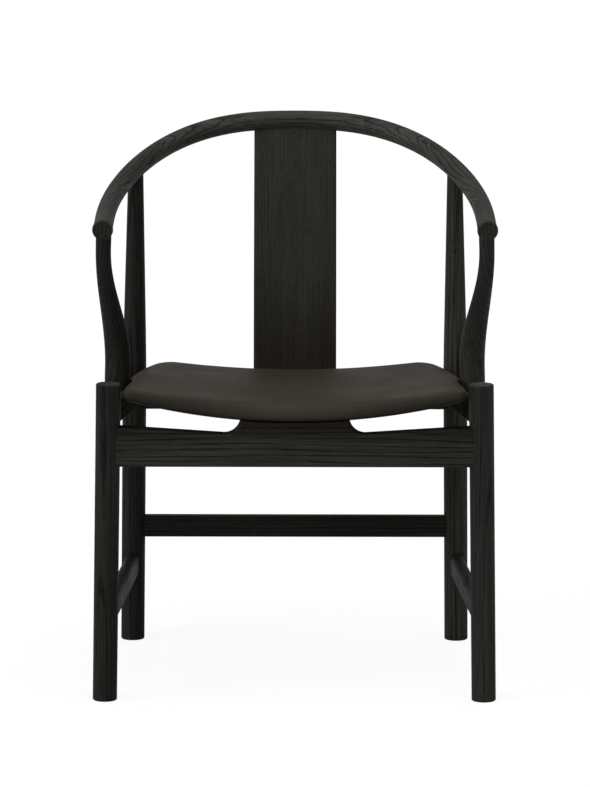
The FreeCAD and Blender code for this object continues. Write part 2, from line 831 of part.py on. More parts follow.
def outlinePrism(inset):
    right = seatOutline()
    plan = right + [(-x, setback) for x, setback in right[::-1]]
    points = [Vector(x, frontLegY + setback, 0) for x, setback in plan]
    wire = Part.makePolygon(points + points[:1])
    if inset:
        wire = wire.makeOffset2D(-inset, 2)
    return Part.Face(wire).extrude(Vector(0, 0, size.crestHeight))


def shapeObject(name, shape):
    piece = doc.addObject("Part::Feature", name)
    piece.Shape = shape
    return piece


def common(name, base, tool):
    piece = doc.addObject("Part::Common", name)
    piece.Base = base
    piece.Tool = tool
    return piece


def makeSeatRoom():
    """Everything above the seat's underside: it trims the wood that carries the seat."""
    reach = size.rearRailThickness / 2 + size.cutOverrun
    halfWidth = size.frontFootSpan / 2
    wires = []
    for setback in (-reach, size.legDepth + reach):
        wires.append(sheetStation(setback, halfWidth, -size.softGap, size.seatDrop))
    return shapeObject("seat_room", Part.makeLoft(wires, True, True))


def makeSeat(screwHoles):
    leather, gap = size.leatherThickness, size.softGap
    shellLow = leather + gap
    shellHigh = shellLow + size.shellThickness

    hollow = paddedForm(leather, size.seatThickness - leather, leather)
    opening = sheetForm(-leather, leather + gap, size.leatherTurnUnder)
    cover = paddedForm(0, size.seatThickness, 0).cut(hollow).cut(opening)
    # The sides meet the underside at a slant, where the levels alone would leave no gap
    inside = paddedForm(shellLow, size.seatThickness - shellLow, shellLow + gap)
    shell = inside.common(sheetForm(-leather, shellHigh, 0))
    foam = inside.cut(sheetForm(-leather, shellHigh + gap, 0))
    lining = sheetForm(leather / 2, leather, size.leatherTurnUnder + gap)

    shapeObject("seat_foam", foam)
    for name, shape in (("seat_shell", shell), ("seat_cover", cover), ("seat_lining", lining)):
        cut(name, shapeObject(f"{name}_blank", shape), screwHoles)


# Screws


def screwWithHole(name, tip, direction, length):
    """Pan head screw that ends at the tip, and the hole with its counterbore."""
    turn = towards(direction, Vector(1, 0, 0))
    neck = tip - direction * length
    shank = cylinder(f"{name}_shank", "sizes.screwDiameter", f"{length}", Placement(neck, turn))
    head = cylinder(
        f"{name}_head",
        "sizes.screwHeadDiameter",
        "sizes.screwHeadLength",
        Placement(neck - direction * size.screwHeadLength, turn),
    )
    bore = cylinder(
        f"{name}_bore",
        "sizes.screwDiameter + sizes.fitGap * 2",
        f"{length} + sizes.fitGap",
        Placement(neck, turn),
    )
    sinkLength = size.frontRailEndHeight + size.frontRailScoop
    sink = cylinder(
        f"{name}_sink",
        "sizes.screwHeadDiameter + sizes.fitGap * 2",
        f"{sinkLength}",
        Placement(neck - direction * sinkLength, turn),
    )
    return fuse(name, [head, shank]), fuse(f"{name}_hole", [bore, sink])


def seatScrewTip(x, setback):
    height = seatUnderside(x, setback) + size.leatherThickness + size.softGap + size.seatScrewBite
    return Vector(x, frontLegY + setback, height)


def makeSeatScrews():
    """Screws up into the seat shell from the front rail, the side rails and the rear blocks."""
    spots = {}
    for sideName, side in sides.items():
        sideX = abs(sideRailPoint(side, size.sideScrewSetback).x) - size.sideScrewInset
        blockX, blockSetback = blockScrewSpot()
        spots[f"front_{sideName}"] = (side * size.frontScrewSpan / 2, size.frontScrewSetback)
        spots[f"side_{sideName}"] = (side * sideX, size.sideScrewSetback)
        spots[f"rear_{sideName}"] = (side * blockX, blockSetback)
    screws, holes = [], {}
    for spot, (x, setback) in spots.items():
        tip = seatScrewTip(x, setback)
        screw, hole = screwWithHole(f"seat_screw_{spot}", tip, Vector(0, 0, 1), size.seatScrewLength)
        screws.append(screw)
        holes[spot] = hole
    group("seat_screws", screws)
    return holes


# Rear corner blocks


def blockFaceX(setback):
    return innerRailX(setback) - size.fitGap


def blockCorners():
    """Plan of the right block: against the rear rail, clear of the leg, against the side rail."""
    rearFace = size.legDepth - size.rearRailThickness / 2 - size.fitGap
    legClear = legRadius + size.blockLegGap
    legX = rearLegPoint(1, size.blockUnderside).x
    return [
        (blockFaceX(rearFace) - size.blockReach, rearFace),
        (legX - legClear, rearFace),
        (blockFaceX(size.legDepth - legClear), size.legDepth - legClear),
        (blockFaceX(rearFace - size.blockReach), rearFace - size.blockReach),
    ]


def blockScrewSpot():
    """Where the seat screw rises through the block: the middle of its plan."""
    corners = blockCorners()
    x = sum(corner[0] for corner in corners) / len(corners)
    setback = sum(corner[1] for corner in corners) / len(corners)
    return x, setback


def makeBlock(side, name, seatRoom, seatHole):
    corners = [(f"{side * x}", f"{setback}") for x, setback in blockCorners()]
    body = doc.addObject("PartDesign::Body", f"{name}_blank")
    sketch = outlineSketch(body, f"{name}_plan", "XY_Plane", corners)
    pad(body, sketch, "sizes.sideRailHeight")
    body.Placement = at(0, 0, size.blockUnderside)

    first, legRear, legSide, last = blockCorners()
    height = size.blockUnderside + size.screwHeadDiameter
    bite = size.rearRailThickness / 2
    intoRail = Vector(side * (first[0] + legRear[0]) / 2, frontLegY + first[1] + bite, height)
    sideSetback = (legSide[1] + last[1]) / 2
    intoSide = Vector(side * (blockFaceX(sideSetback) + bite), frontLegY + sideSetback, height)
    screws, holes = [], []
    for tag, tip, direction in (("rear", intoRail, Vector(0, 1, 0)), ("side", intoSide, Vector(side, 0, 0))):
        screw, hole = screwWithHole(f"{name}_{tag}_screw", tip, direction, size.blockScrewLength)
        screws.append(screw)
        holes.append(hole)
    trimmed = cut(f"{name}_trimmed", body, [seatRoom])
    cut(name, trimmed, [seatHole] + holes)
    return screws, holes


# The whole chair


def makeChair():
    frontBlanks = {name: frontLegBlank(side, f"front_leg_{name}") for name, side in sides.items()}
    rearBlanks = {name: rearLegBlank(side, f"rear_leg_{name}") for name, side in sides.items()}
    frontHoles = {name: [] for name in sides}
    rearHoles = {name: [] for name in sides}
    seatRoom = makeSeatRoom()
    seatHoles = makeSeatScrews()
    rail = makeWholeRail()
    splatRoom = makeSplat("splat_room", size.fitGap)
    makeSplat("back_splat", 0)
    pegs, railHoles, blockScrews, rearRailHoles, sideBars = [], [], [], [splatRoom], []

    for name, side in sides.items():
        legs = [frontBlanks[name], rearBlanks[name]]
        bar, mortises = member(
            f"side_stretcher_{name}", "sizes.sideStretcherWidth", "sizes.sideStretcherDepth",
            "sizes.sideStretcherRound", "sizes.legDepth",
            frontLegPoint(side, size.sideStretcherFrontHeight),
            rearLegPoint(side, size.sideStretcherRearHeight), legs,
        )
        frontHoles[name].append(mortises[0])
        rearHoles[name].append(mortises[1])

        blockName = f"rear_corner_block_{name}"
        blockScrewPair, blockHoles = makeBlock(side, blockName, seatRoom, seatHoles[f"rear_{name}"])
        blockScrews += blockScrewPair
        rearRailHoles.append(blockHoles[0])

        sideBar, mortises = member(
            f"side_seat_rail_{name}_bar", "sizes.sideRailWidth", "sizes.sideRailHeight",
            "sizes.railEdgeRound", "sizes.legDepth",
            sideRailPoint(side, 0), sideRailPoint(side, size.legDepth), legs,
        )
        frontHoles[name].append(mortises[0])
        rearHoles[name].append(mortises[1])
        sideBars.append(sideBar)

        base = postBase(side)
        footTop = Vector(base.x, base.y, base.z + size.sideRailHeight / 2 + size.pegLength / 2)
        footPeg, footHole = pegAt(f"post_foot_peg_{name}", footTop, Vector(0, 0, 1))
        headTop = Vector(side * size.armSpan / 2, frontLegY + size.postTopSetback, 0)
        headTop.z = size.armHeight - railRadius + size.pegRailDepth
        headPeg, headHole = pegAt(f"post_head_peg_{name}", headTop, Vector(0, 0, 1))
        legTop = rearLegPoint(side, railHeight(size.legDepth) - railRadius + size.pegRailDepth)
        legDirection = (legTop - rearLegPoint(side, 0)).normalize()
        legPeg, legHole = pegAt(f"leg_head_peg_{name}", legTop, legDirection)
        pegs += [footPeg, headPeg, legPeg]
        railHoles += [headHole, legHole]

        cut(f"side_seat_rail_{name}", sideBar, [seatHoles[f"side_{name}"], blockHoles[1], footHole])
        post = makePostBlank(side, f"arm_post_{name}_blank")
        scribed = cut(f"arm_post_{name}_scribed", post, [sideBar, rail])
        cut(f"arm_post_{name}", scribed, [footHole, headHole])

        rearHoles[name].append(legHole)

    frontRail(frontBlanks, frontHoles, seatRoom, [seatHoles["front_left"], seatHoles["front_right"]])
    rearRail(rearBlanks, rearHoles, [seatRoom] + rearRailHoles, sideBars)
    rearStretcher(rearBlanks, rearHoles)
    for name in sides:
        cut(f"front_leg_{name}", frontBlanks[name], frontHoles[name])
        scribed = cut(f"rear_leg_{name}_scribed", rearBlanks[name], [rail])
        cut(f"rear_leg_{name}", scribed, rearHoles[name])
    crestRail(rail, splatRoom, railHoles)
    group("pegs", pegs)
    group("corner_block_screws", blockScrews)
    makeSeat(list(seatHoles.values()))


def crossTenons(name, legPoint, height, legHoles):
    """Tenons of a crosswise rail, whose mortises are added to the legs' holes."""
    tenons = []
    for sideName, side in sides.items():
        tenon, mortise = tenonPair(f"{name}_{sideName}", legPoint(side, height), Vector(-side, 0, 0))
        tenons.append(tenon)
        legHoles[sideName].append(mortise)
    return tenons


def frontRail(frontBlanks, frontHoles, seatRoom, screwHoles):
    height = size.frontRailUnderside + size.frontRailLowHeight / 2
    tenons = crossTenons("front_seat_rail", frontLegPoint, height, frontHoles)
    blank = frontRailBlank("front_seat_rail_blank")
    coped = cut("front_seat_rail_coped", blank, list(frontBlanks.values()) + [seatRoom])
    holed = cut("front_seat_rail_holed", coped, screwHoles)
    fuse("front_seat_rail", [holed] + tenons)


def rearRail(rearBlanks, rearHoles, rooms, sideBars):
    height = size.rearRailUnderside + size.rearTenonDrop
    tenons = crossTenons("rear_seat_rail", rearLegPoint, height, rearHoles)
    blank = rearRailBlank("rear_seat_rail_blank")
    coped = cut("rear_seat_rail_coped", blank, list(rearBlanks.values()))
    holed = cut("rear_seat_rail_holed", coped, rooms)
    tenoned = fuse("rear_seat_rail_tenoned", [holed] + tenons)
    cut("rear_seat_rail", tenoned, sideBars)


def rearStretcher(rearBlanks, rearHoles):
    ends = [rearLegPoint(side, size.rearStretcherHeight) for side in sides.values()]
    bar, mortises = member(
        "rear_stretcher", "sizes.rearStretcherWidth", "sizes.rearStretcherDepth",
        "sizes.rearStretcherRound", "sizes.rearFootSpan", *ends, list(rearBlanks.values()),
    )
    for name, mortise in zip(sides, mortises):
        rearHoles[name].append(mortise)


def crestRail(rail, splatRoom, railHoles):
    holed = cut("crest_rail_holed", rail, [splatRoom] + railHoles)
    armTools = []
    for name, side in sides.items():
        tool = scarfTool(side, f"arm_reach_{name}")
        armTools.append(tool)
        arm = common(f"rail_arm_{name}_length", holed, tool)
        fuse(f"rail_arm_{name}", [arm] + makeKnob(side, f"rail_arm_{name}"))
    cut("rail_back", holed, armTools)


pieces = [
    "rail_back", "back_splat", "front_seat_rail", "rear_seat_rail", "rear_stretcher",
    "seat_shell", "seat_foam", "seat_cover", "seat_lining",
    "pegs", "seat_screws", "corner_block_screws",
]
for sideName in sides:
    pieces += [f"{stem}_{sideName}" for stem in (
        "rail_arm", "arm_post", "front_leg", "rear_leg",
        "side_seat_rail", "side_stretcher", "rear_corner_block",
    )]


def writePieces():
    os.makedirs("parts", exist_ok=True)
    failed = [item.Name for item in doc.Objects if "Invalid" in item.State or "Error" in item.State]
    if failed:
        raise RuntimeError(f"failed objects: {failed}")
    for name in pieces:
        shape = doc.getObject(name).Shape
        if shape.isNull() or not shape.isValid() or not shape.Solids:
            raise RuntimeError(f"bad shape: {name}")
        print(f"{name}: {len(shape.Solids)} solids, {shape.Volume / 1000:.1f} cm3")
    for name in pieces:
        piece = doc.getObject(name)
        piece.Shape.exportStep(f"parts/{piece.Label}.step")


makeChair()
doc.recompute()
writePieces()
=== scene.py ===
import math

import bmesh
import bpy
from mathutils import Euler, Matrix, Vector, kdtree, noise
from mathutils.geometry import delaunay_2d_cdt


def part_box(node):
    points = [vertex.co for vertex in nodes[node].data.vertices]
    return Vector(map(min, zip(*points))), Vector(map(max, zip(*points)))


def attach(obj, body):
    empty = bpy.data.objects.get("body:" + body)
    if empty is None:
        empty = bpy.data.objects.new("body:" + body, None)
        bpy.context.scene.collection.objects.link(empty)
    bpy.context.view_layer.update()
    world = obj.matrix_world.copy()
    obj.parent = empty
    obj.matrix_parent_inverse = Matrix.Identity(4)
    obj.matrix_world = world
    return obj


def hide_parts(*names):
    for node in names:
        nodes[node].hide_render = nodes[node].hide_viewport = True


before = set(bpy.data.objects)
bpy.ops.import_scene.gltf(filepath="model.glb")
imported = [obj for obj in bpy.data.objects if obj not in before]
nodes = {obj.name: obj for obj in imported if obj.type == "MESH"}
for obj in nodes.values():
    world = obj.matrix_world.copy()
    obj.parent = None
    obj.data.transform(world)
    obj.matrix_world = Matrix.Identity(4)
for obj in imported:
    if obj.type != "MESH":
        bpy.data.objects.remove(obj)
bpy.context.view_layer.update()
print("frame loaded:", len(nodes), "nodes")

# everything on the chair is set out from the front leg axes, going back
legLow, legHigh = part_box("front_leg_right")
frontLegY = (legLow.y + legHigh.y) / 2


# camera, at the height and angle of the photograph

cameraSetup = {
    "distance": 8.2,        # ahead of the front legs
    "height": 1.9463,
    "sideStep": 0.0002,
    "pitch": 10.46,         # degrees down
    "roll": 0.11,
    "lens": 277.2,
    "sensor": 36,
    "farthest": 200,
}


def makeCamera(setup):
    lens = bpy.data.cameras.new("photoCamera")
    lens.lens = setup["lens"]
    lens.sensor_width = setup["sensor"]
    lens.clip_end = setup["farthest"]
    camera = bpy.data.objects.new("photoCamera", lens)
    camera.location = (setup["sideStep"], frontLegY - setup["distance"], setup["height"])
    tilt = Euler((math.radians(90 - setup["pitch"]), 0, 0)).to_matrix()
    camera.rotation_euler = (tilt @ Matrix.Rotation(math.radians(setup["roll"]), 3, "Z")).to_euler()
    bpy.context.scene.collection.objects.link(camera)
    bpy.context.scene.camera = camera
    print("camera placed")


makeCamera(cameraSetup)


# short ways to build shader node trees


def feed(tree, node, name, value):
    if isinstance(value, bpy.types.NodeSocket):
        tree.links.new(value, node.inputs[name])
    else:
        node.inputs[name].default_value = value


def addNode(tree, kind, values=None, **settings):
    node = tree.nodes.new(kind)
    for name, value in settings.items():
        setattr(node, name, value)
    for name, value in (values or {}).items():
        feed(tree, node, name, value)
    return node


def maths(tree, operation, *values):
    return addNode(tree, "ShaderNodeMath", dict(enumerate(values)), operation=operation).outputs[0]


def vectorMaths(tree, operation, *values):
    return addNode(tree, "ShaderNodeVectorMath", dict(enumerate(values)), operation=operation).outputs[0]


def stretched(tree, vector, scale, offset=(0, 0, 0)):
    return vectorMaths(tree, "MULTIPLY_ADD", vector, scale, offset)


def noiseValue(tree, vector, scale=1.0, detail=2.0, roughness=0.5):
    values = {"Vector": vector, "Scale": scale, "Detail": detail, "Roughness": roughness}
    return addNode(tree, "ShaderNodeTexNoise", values).outputs["Fac"]


def eased(tree, value, low, high, toLow=0.0, toHigh=1.0):
    values = {"Value": value, "From Min": low, "From Max": high, "To Min": toLow, "To Max": toHigh}
    return addNode(tree, "ShaderNodeMapRange", values, interpolation_type="SMOOTHSTEP").outputs["Result"]


def mixColour(tree, share, first, second, blend="MIX"):
    values = {0: share, 6: first, 7: second}
    return addNode(tree, "ShaderNodeMix", values, data_type="RGBA", blend_type=blend).outputs[2]


def bumpNormal(tree, height, distance, strength=1.0):
    values = {"Height": height, "Distance": distance, "Strength": strength}
    return addNode(tree, "ShaderNodeBump", values).outputs[0]


def parted(tree, vector):
    return addNode(tree, "ShaderNodeSeparateXYZ", {0: vector}).outputs


def newGroup(name, inputs, outputs):
    group = bpy.data.node_groups.new(name, "ShaderNodeTree")
    for socketName, kind, value in inputs:
        kind = f"NodeSocket{kind}"
        socket = group.interface.new_socket(socketName, in_out="INPUT", socket_type=kind)
        if value is not None:
            socket.default_value = value
    for socketName in outputs:
        group.interface.new_socket(socketName, in_out="OUTPUT", socket_type="NodeSocketFloat")
    return group, addNode(group, "NodeGroupInput").outputs, addNode(group, "NodeGroupOutput")


def useGroup(tree, group, values):
    node = addNode(tree, "ShaderNodeGroup", node_tree=group)
    for name, value in values.items():
        feed(tree, node, name, value)
    return node.outputs


def newMaterial(name):
    material = bpy.data.materials.new(name)
    material.use_nodes = True
    tree = material.node_tree
    tree.nodes.clear()
    shader = addNode(tree, "ShaderNodeBsdfPrincipled")
    output = addNode(tree, "ShaderNodeOutputMaterial")
    tree.links.new(shader.outputs[0], output.inputs["Surface"])
    return material, tree, shader


def objectPlace(tree):
    return addNode(tree, "ShaderNodeTexCoord").outputs["Object"]


def coat(piece, material):
    piece.data.materials.clear()
    piece.data.materials.append(material)


# effects that several materials share


grainPattern = {
    # counts per metre across and along the grain, and the ranges in which each mark shows
    "wander": (9, 9, 1.4),
    "uneven": (75, 75, 3.4),
    "unevenShare": 1.6,         # of a ring's width
    "opening": 0.1,
    "closing": 0.5,
    "breaks": (330, 330, 13),
    "breakRange": (0.36, 0.62, 0.25, 1.0),
    "pores": (2400, 2400, 120),
    "poreRange": (0.5, 0.62),
    "latePores": 0.15,
    "fibres": (1300, 1300, 24),
    "streaks": (360, 360, 6),
    "board": (28, 28, 2),
}


def makeGrainGroup(pattern):
    # open grained wood: growth rings round a pith line, with fibres and vessels along local Z
    group, inputs, output = newGroup(
        "openGrain",
        [("Vector", "Vector", None), ("Pith", "Vector", (0, 0, 0)), ("Ring Width", "Float", 0.005),
         ("Drift", "Float", 0.01), ("Early Share", "Float", 0.3)],
        ["Early Wood", "Vessels", "Fibres", "Streaks", "Board"],
    )
    local = inputs["Vector"]

    def marks(name, **values):
        return noiseValue(group, stretched(group, local, pattern[name]), **values)

    wander = addNode(group, "ShaderNodeTexNoise", {
        "Vector": stretched(group, local, pattern["wander"]), "Scale": 1.0, "Detail": 2.0,
    }).outputs["Color"]
    level = stretched(group, wander, (1, 1, 0), (-0.5, -0.5, 0))
    push = addNode(group, "ShaderNodeVectorMath", operation="SCALE")
    feed(group, push, 0, level)
    feed(group, push, "Scale", inputs["Drift"])
    pushed = vectorMaths(group, "ADD", local, push.outputs[0])
    flat = stretched(group, vectorMaths(group, "SUBTRACT", pushed, inputs["Pith"]), (1, 1, 0))
    radius = addNode(group, "ShaderNodeVectorMath", {0: flat}, operation="LENGTH").outputs["Value"]
    years = maths(group, "DIVIDE", radius, inputs["Ring Width"])
    age = maths(group, "MULTIPLY_ADD", marks("uneven"), pattern["unevenShare"], years)
    phase = maths(group, "FRACT", age)
    opening = eased(group, phase, 0.0, pattern["opening"])
    closeStart = maths(group, "MULTIPLY", inputs["Early Share"], pattern["closing"])
    closing = eased(group, phase, closeStart, inputs["Early Share"], 1.0, 0.0)
    early = maths(group, "MULTIPLY", opening, closing)
    broken = eased(group, marks("breaks"), *pattern["breakRange"])
    fine = eased(group, marks("pores", detail=1.0), *pattern["poreRange"])
    inEarly = maths(group, "MULTIPLY_ADD", early, 1 - pattern["latePores"], pattern["latePores"])
    feed(group, output, "Early Wood", maths(group, "MULTIPLY", early, broken))
    feed(group, output, "Vessels", maths(group, "MULTIPLY", fine, inEarly))
    feed(group, output, "Fibres", marks("fibres", detail=3.0, roughness=0.6))
    feed(group, output, "Streaks", marks("streaks", detail=3.0, roughness=0.55))
    feed(group, output, "Board", marks("board", detail=1.0))
    return group


def makeHandlingGroup():
    # cloudy change over a surface from touch, dust and uneven finish
    group, inputs, output = newGroup(
        "handlingMarks", [("Vector", "Vector", None), ("Size", "Float", 9.0)], ["Clouds"],
    )
    spread = addNode(group, "ShaderNodeVectorMath", {0: inputs["Vector"]}, operation="SCALE")
    feed(group, spread, "Scale", inputs["Size"])
    feed(group, output, "Clouds", noiseValue(group, spread.outputs[0], 1.0, 4.0, 0.55))
    return group


hidePattern = {
    "bendScale": 260.0,
    "bend": 0.0016,             # how far the pebbles are pushed out of line
    "pebbleEdge": 0.3,          # of a cell, over which a pebble rounds off
    "creaseEdge": 0.08,
    "dentScale": 30.0,
    "stretch": (24, 260, 260),
}


def makeHideGroup(pattern):
    # leather: rounded pebbles, creases between them, wider soft dents and stretch lines
    group, inputs, output = newGroup(
        "hideGrain", [("Vector", "Vector", None), ("Pebble Count", "Float", 900.0)],
        ["Pebbles", "Creases", "Dents", "Stretch"],
    )
    local, push = inputs["Vector"], pattern["bend"]
    bendValues = {"Vector": local, "Scale": pattern["bendScale"], "Detail": 2.0}
    bend = addNode(group, "ShaderNodeTexNoise", bendValues).outputs["Color"]
    warped = vectorMaths(group, "ADD", local, stretched(group, bend, (push,) * 3, (-push / 2,) * 3))
    cells = addNode(group, "ShaderNodeTexVoronoi", {"Vector": warped}, feature="DISTANCE_TO_EDGE")
    feed(group, cells, "Scale", inputs["Pebble Count"])
    fromEdge = cells.outputs["Distance"]
    feed(group, output, "Pebbles", eased(group, fromEdge, 0.0, pattern["pebbleEdge"]))
    feed(group, output, "Creases", eased(group, fromEdge, 0.0, pattern["creaseEdge"], 1.0, 0.0))
    feed(group, output, "Dents", noiseValue(group, local, pattern["dentScale"], 3.0))
    along = stretched(group, local, pattern["stretch"])
    feed(group, output, "Stretch", noiseValue(group, along, 1.0, 2.0))
    return group


grainGroup = makeGrainGroup(grainPattern)
handlingGroup = makeHandlingGroup()
hideGroup = makeHideGroup(hidePattern)
print("shared effects built")


# black stained ash: one material for each board, with its direction of grain and its painted light and
# shade

ashFinish = {
    "lateWood": (0.0134, 0.0132, 0.0117),
    "earlyWood": (0.0045, 0.0043, 0.0036),
    "vessel": (0.0024, 0.0022, 0.0018, 1),
    "brown": (1.0, 0.9, 0.76),          # cast of the painted shade
    "ringWidth": 0.0052,
    "drift": 0.014,
    "earlyShare": 0.36,
    "fibreRange": (0.25, 0.75),
    "fibreSpread": 0.3,                 # how far fibres, streaks and the board change the tone
    "streakRange": (0.3, 0.7),
    "streakSpread": (0.32, 0.34),
    "boardSpread": 0.14,
    "endRange": (0.82, 0.9),            # how squarely a face cuts the grain
    "roughness": 0.5,
    "vesselRoughness": 0.82,
    "wear": (0.35, 0.7, -0.05, 0.06),
    "wearSize": 7.0,
    "specular": 0.07,
    "relief": 0.00035,
    "softRelief": 0.35,                 # of early wood and fibres, against the vessels
    "reliefStrength": 0.7,
}

upright, crosswise, backward = (0, 0, 1), (1, 0, 0), (0, 1, 0)
ashBoards = {
    # tone, cast and contrast are against the usual; tone is painted light and shade, each board lighter
    # or darker as light falls on it in its place. end is the tone of end grain: above one, on the front
    # leg tops, it is a painted highlight, and below one it darkens those faces on the arms. depth
    # flattens the grain of a bowed board, and shade is painted shade: (dark height, light height, tone
    # there)
    "ashFrontLegLeft": {
        "pith": (-0.42, -0.62), "rings": 0.9, "contrast": 0.85, "tone": 0.84, "end": 2.3,
        "nodes": ["front_leg_left"],
    },
    "ashFrontLegRight": {
        "pith": (0.47, -0.66), "rings": 0.9, "contrast": 0.7, "tone": 1.2, "end": 2.6,
        "nodes": ["front_leg_right"],
    },
    "ashRearLegLeft": {"pith": (-0.51, -0.4), "rings": 0.9, "tone": 0.85, "nodes": ["rear_leg_left"]},
    "ashRearLegRight": {
        "pith": (0.55, -0.43), "rings": 0.9, "tone": 1.7, "cast": (1.02, 0.98, 0.94),
        "nodes": ["rear_leg_right"],
    },
    "ashPostLeft": {
        "grain": (0.1, 0.15, 1), "pith": (-0.5, -0.3), "contrast": 0.7, "tone": 0.7,
        "nodes": ["arm_post_left"],
    },
    "ashPostRight": {
        "grain": (-0.1, 0.15, 1), "pith": (0.5, -0.33), "contrast": 0.6, "tone": 1.36,
        "nodes": ["arm_post_right"],
    },
    "ashSplat": {
        "pith": (-0.37, 0.16), "rings": 0.62, "tone": 1.55, "cast": (1.02, 0.99, 0.92), "depth": 0.05,
        "contrast": 0.5, "shade": (0.41, 0.55, 0.62), "nodes": ["back_splat"],
    },
    "ashCrest": {
        "grain": crosswise, "pith": (-0.34, 0.52), "contrast": 0.8, "tone": 2.7, "nodes": ["rail_back"],
    },
    "ashArmLeft": {
        "grain": (0.42, 1, 0.25), "pith": (-0.6, -0.5), "contrast": 0.7, "tone": 2.4, "end": 0.48,
        "nodes": ["rail_arm_left"],
    },
    "ashArmRight": {
        "grain": (-0.42, 1, 0.25), "pith": (0.62, -0.5), "contrast": 0.7, "tone": 2.3, "end": 0.55,
        "nodes": ["rail_arm_right"],
    },
    "ashFrontRail": {
        "grain": crosswise, "pith": (0.14, -0.3), "rings": 1.5, "tone": 1.4,
        "shade": (0.39, 0.36, 0.36), "nodes": ["front_seat_rail"],
    },
    "ashRearRails": {
        "grain": crosswise, "pith": (0.2, 0.3), "tone": 0.66, "cast": (1.02, 0.97, 0.86),
        "nodes": ["rear_seat_rail", "rear_stretcher"],
    },
    "ashSideRails": {
        "grain": (0, 1, -0.1), "pith": (-0.4, 0.3), "tone": 1.9, "cast": (1.04, 0.98, 0.87),
        "specular": 0.0, "nodes": ["side_seat_rail_left", "side_seat_rail_right"],
    },
    "ashSideStretchers": {
        "grain": backward, "pith": (0.43, 0.3), "tone": 0.8, "contrast": 0.5, "specular": 0.05,
        "nodes": ["side_stretcher_left", "side_stretcher_right"],
    },
}


def grainTurn(direction):
    # turn that brings the grain onto local Z
    return Vector(direction).normalized().rotation_difference(Vector(upright)).to_euler("XYZ")


def tinted(colour, cast=(1, 1, 1), share=1.0):
    return tuple(channel * part * share for channel, part in zip(colour, cast)) + (1,)


def endTone(tree, normal, direction, look, tone):
    # the tone of a face that cuts straight across the grain; where it is above one, it is a painted
    # highlight
    values = {0: normal, 1: Vector(direction).normalized()}
    facing = addNode(tree, "ShaderNodeVectorMath", values, operation="DOT_PRODUCT").outputs["Value"]
    return eased(tree, maths(tree, "ABSOLUTE", facing), *look["endRange"], 1.0, tone)


def paintedShadeByHeight(tree, colour, place, shade, look):
    # painted shade: darker and browner towards the dark height
    dark, light, share = shade
    bounds = min(dark, light), max(dark, light)
    deep = eased(tree, parted(tree, place)["Z"], *bounds, float(dark < light), float(dark > light))
    browned = mixColour(tree, 1.0, colour, tinted(look["brown"], share=share), "MULTIPLY")
    return mixColour(tree, deep, colour, browned)


def makeAsh(name, board, look):
    material, tree, shader = newMaterial(name)
    coordinates = addNode(tree, "ShaderNodeTexCoord").outputs
    place = coordinates["Object"]
    direction = board.get("grain", upright)
    mapping = addNode(tree, "ShaderNodeMapping", {
        "Vector": place, "Rotation": grainTurn(direction), "Scale": (1, board.get("depth", 1), 1),
    })
    grain = useGroup(tree, grainGroup, {
        "Vector": mapping.outputs[0], "Pith": (*board["pith"], 0), "Drift": look["drift"],
        "Ring Width": look["ringWidth"] * board.get("rings", 1), "Early Share": look["earlyShare"],
    })
    marks = useGroup(tree, handlingGroup, {"Vector": place, "Size": look["wearSize"]})

    contrast, cast = board.get("contrast", 1), board.get("cast", (1, 1, 1))
    early = maths(tree, "MULTIPLY", grain["Early Wood"], contrast)
    tone = mixColour(tree, early, tinted(look["lateWood"], cast), tinted(look["earlyWood"], cast))
    spread = look["fibreSpread"] * contrast
    fibres = eased(tree, grain["Fibres"], *look["fibreRange"], 1 - spread, 1 + spread)
    down, up = (share * contrast for share in look["streakSpread"])
    streaks = eased(tree, grain["Streaks"], *look["streakRange"], 1 - down, 1 + up)
    # each board's tone carries its painted light and shade, spread at random along the board
    low, high = ((1 + sign * look["boardSpread"]) * board["tone"] for sign in (-1, 1))
    paintedLightAndBoardTone = eased(tree, grain["Board"], *look["streakRange"], low, high)
    shade = maths(tree, "MULTIPLY", maths(tree, "MULTIPLY", fibres, streaks), paintedLightAndBoardTone)
    # faces across the grain: a painted highlight on the front leg tops, darker faces on the arms
    if "end" in board:
        cutEnd = endTone(tree, coordinates["Normal"], direction, look, board["end"])
        shade = maths(tree, "MULTIPLY", shade, cutEnd)
    stained = mixColour(tree, 1.0, tone, shade, "MULTIPLY")
    # painted shade: the splat's foot, and the front rail's middle under the seat nose
    if "shade" in board:
        stained = paintedShadeByHeight(tree, stained, place, board["shade"], look)
    feed(tree, shader, "Base Color", mixColour(tree, grain["Vessels"], stained, look["vessel"]))

    poreRise = look["vesselRoughness"] - look["roughness"]
    porous = maths(tree, "MULTIPLY_ADD", grain["Vessels"], poreRise, look["roughness"])
    worn = eased(tree, marks["Clouds"], *look["wear"])
    feed(tree, shader, "Roughness", maths(tree, "ADD", porous, worn))
    shader.inputs["Specular IOR Level"].default_value = board.get("specular", look["specular"])
    height = maths(tree, "MULTIPLY", grain["Fibres"], look["softRelief"])
    height = maths(tree, "MULTIPLY_ADD", grain["Early Wood"], -look["softRelief"], height)
    height = maths(tree, "SUBTRACT", height, grain["Vessels"])
    feed(tree, shader, "Normal", bumpNormal(tree, height, look["relief"], look["reliefStrength"]))
    return material


for boardName, board in ashBoards.items():
    ash = makeAsh(boardName, board, ashFinish)
    for piece in board["nodes"]:
        coat(nodes[piece], ash)
print("wood finished:", len(ashBoards), "boards")


# what the seat hides: raw beech blocks and pegs, the plywood shell, zinc plated screws

